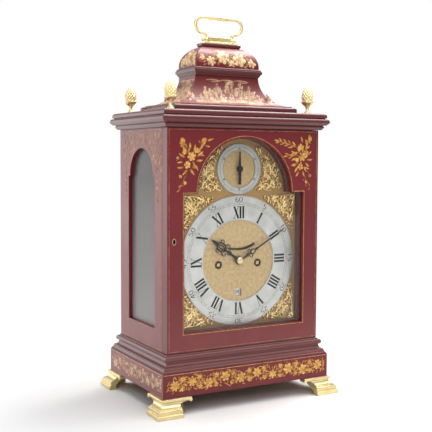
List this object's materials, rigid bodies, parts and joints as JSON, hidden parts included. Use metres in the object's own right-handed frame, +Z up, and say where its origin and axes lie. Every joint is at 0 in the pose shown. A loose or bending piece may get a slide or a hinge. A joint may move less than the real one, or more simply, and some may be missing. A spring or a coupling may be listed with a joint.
{
  "type": "table clock",
  "caption": "Table clock in a red lacquered case with a bell top, glazed arched doors, brass handle, finials and feet, and a fusee movement with pendulum and bell.",
  "frame": {"origin": "on the table, under the middle of the case, at the bottom of the feet", "axes": "+X to the right of someone facing the dial, +Y from the dial to the back, +Z up"},
  "size_m": [0.2664, 0.19, 0.5017],
  "materials": {
    "lacquer": "red lacquer on wood, polished",
    "oak": "plain oiled oak",
    "gilt_brass": "fire-gilt cast brass",
    "glass": "clear flat glass",
    "silvered": "silvered brass, grained",
    "blued_steel": "blued steel, polished",
    "brass": "polished brass",
    "steel": "polished steel",
    "bell_metal": "turned bell metal",
    "gut": "twisted gut line"
  },
  "bodies": {
    "case": {"arch_spandrels": "gilt_brass", "back_cock": "brass", "back_plate": "brass", "back_rails": "lacquer", "base_moulding": "lacquer", "bell": "bell_metal", "bell_dome": "lacquer", "bell_flare": "lacquer", "bottom_board": "oak", "bracket_feet": "gilt_brass", "caddy_step": "lacquer", "case_hinge_leaves": "brass", "chapter_ring": "silvered", "corner_finials": "gilt_brass", "corner_spandrels": "gilt_brass", "cornice": "lacquer", "dial_mask": "lacquer", "dial_plate": "gilt_brass", "front_plate": "brass", "fusee_lines": "gut", "handle_base": "gilt_brass", "left_side": "lacquer", "pillars": "brass", "plinth": "lacquer", "right_side": "lacquer", "seat_board": "oak", "side_glasses": "glass", "subsidiary_ring": "silvered", "top_board": "oak", "top_cap": "lacquer", "waist_moulding": "lacquer"},
    "front_door": {"front_door": "lacquer", "front_door_glass": "glass", "front_door_bead": "lacquer", "door_lock": "brass", "front_hinge_leaves": "brass"},
    "lock_bolt": {"lock_bolt": "steel"},
    "back_door": {"back_door": "lacquer", "back_door_glass": "glass", "back_hinge_leaves": "brass"},
    "back_catch": {"back_door_catch": "brass"},
    "handle": {"handle_bail": "gilt_brass"},
    "minute": {"minute_hand": "blued_steel", "cannon_wheel": "brass", "hand_collet": "brass"},
    "hour": {"hour_hand": "blued_steel", "hour_wheel": "brass"},
    "motion": {"minute_wheel": "brass"},
    "date": {"date_ring": "silvered"},
    "subsidiary": {"subsidiary_hand": "blued_steel"},
    "escape": {"escape_wheel": "brass"},
    "third": {"third_wheel": "brass"},
    "centre": {"centre_wheel": "brass"},
    "going_fusee": {"going_fusee": "brass"},
    "going_barrel": {"going_barrel": "brass"},
    "strike_fusee": {"strike_fusee": "brass"},
    "strike_barrel": {"strike_barrel": "brass"},
    "pendulum": {"pendulum": "brass", "pallets": "steel"},
    "hammer": {"hammer": "steel"}
  },
  "joints": [
    {"name": "front_door_swing", "type": "hinge", "parent": "case", "child": "front_door", "pos_m": [0.1136, -0.05805, 0.2125], "axis": [0, 0, 1], "range_deg": [0, 110]},
    {"name": "lock_throw", "type": "slide", "parent": "front_door", "child": "lock_bolt", "axis": [-1, 0, 0], "range_m": [0, 0.003]},
    {"name": "back_door_swing", "type": "hinge", "parent": "case", "child": "back_door", "pos_m": [-0.1008, 0.07545, 0.2125], "axis": [0, 0, 1], "range_deg": [0, 105]},
    {"name": "catch_turn", "type": "hinge", "parent": "back_door", "child": "back_catch", "pos_m": [0.0936, 0.0678, 0.2119], "axis": [0, 1, 0], "range_deg": [0, 90]},
    {"name": "handle_swing", "type": "hinge", "parent": "case", "child": "handle", "pos_m": [0, 0, 0.47], "axis": [1, 0, 0], "range_deg": [-88, 88]},
    {"name": "minute_turn", "type": "hinge", "parent": "case", "child": "minute", "pos_m": [0, -0.0598, 0.1821], "axis": [0, 1, 0], "continuous": true},
    {"name": "hour_turn", "type": "hinge", "parent": "case", "child": "hour", "pos_m": [0, -0.0568, 0.1821], "axis": [0, 1, 0], "continuous": true},
    {"name": "motion_turn", "type": "hinge", "parent": "case", "child": "motion", "pos_m": [0, -0.0442, 0.1641], "axis": [0, 1, 0], "continuous": true},
    {"name": "date_turn", "type": "hinge", "parent": "case", "child": "date", "pos_m": [0, -0.0507, 0.1821], "axis": [0, 1, 0], "continuous": true},
    {"name": "subsidiary_turn", "type": "hinge", "parent": "case", "child": "subsidiary", "pos_m": [0, -0.0568, 0.3002], "axis": [0, 1, 0], "range_deg": [-60, 60]},
    {"name": "escape_turn", "type": "hinge", "parent": "case", "child": "escape", "pos_m": [0, 0, 0.2221], "axis": [0, 1, 0], "continuous": true},
    {"name": "third_turn", "type": "hinge", "parent": "case", "child": "third", "pos_m": [0.00887, 0, 0.2044], "axis": [0, 1, 0], "continuous": true},
    {"name": "centre_turn", "type": "hinge", "parent": "case", "child": "centre", "pos_m": [0, 0, 0.1821], "axis": [0, 1, 0], "continuous": true},
    {"name": "going_fusee_turn", "type": "hinge", "parent": "case", "child": "going_fusee", "pos_m": [0.0293, 0, 0.1775], "axis": [0, 1, 0], "continuous": true},
    {"name": "going_barrel_turn", "type": "hinge", "parent": "case", "child": "going_barrel", "pos_m": [0.036, 0, 0.1281], "axis": [0, 1, 0], "continuous": true},
    {"name": "strike_fusee_turn", "type": "hinge", "parent": "case", "child": "strike_fusee", "pos_m": [-0.0293, 0, 0.1775], "axis": [0, 1, 0], "continuous": true},
    {"name": "strike_barrel_turn", "type": "hinge", "parent": "case", "child": "strike_barrel", "pos_m": [-0.036, 0, 0.1281], "axis": [0, 1, 0], "continuous": true},
    {"name": "pendulum_swing", "type": "hinge", "parent": "case", "child": "pendulum", "pos_m": [0, 0.0267, 0.2461], "axis": [0, 1, 0], "range_deg": [-4, 4]},
    {"name": "hammer_strike", "type": "hinge", "parent": "case", "child": "hammer", "pos_m": [-0.044, -0.012, 0.2401], "axis": [0, 1, 0], "range_deg": [-18, 2]}
  ],
  "couplings": [
    {"joint": "hour_turn", "follows": "minute_turn", "ratio": 0.083333},
    {"joint": "motion_turn", "follows": "minute_turn", "ratio": -0.33333},
    {"joint": "date_turn", "follows": "minute_turn", "ratio": 0.0013441},
    {"joint": "third_turn", "follows": "escape_turn", "ratio": -0.125},
    {"joint": "centre_turn", "follows": "escape_turn", "ratio": 0.013889},
    {"joint": "going_fusee_turn", "follows": "escape_turn", "ratio": -0.0011574},
    {"joint": "going_barrel_turn", "follows": "escape_turn", "ratio": -0.00079738},
    {"joint": "strike_barrel_turn", "follows": "strike_fusee_turn", "ratio": 0.68894}
  ]
}
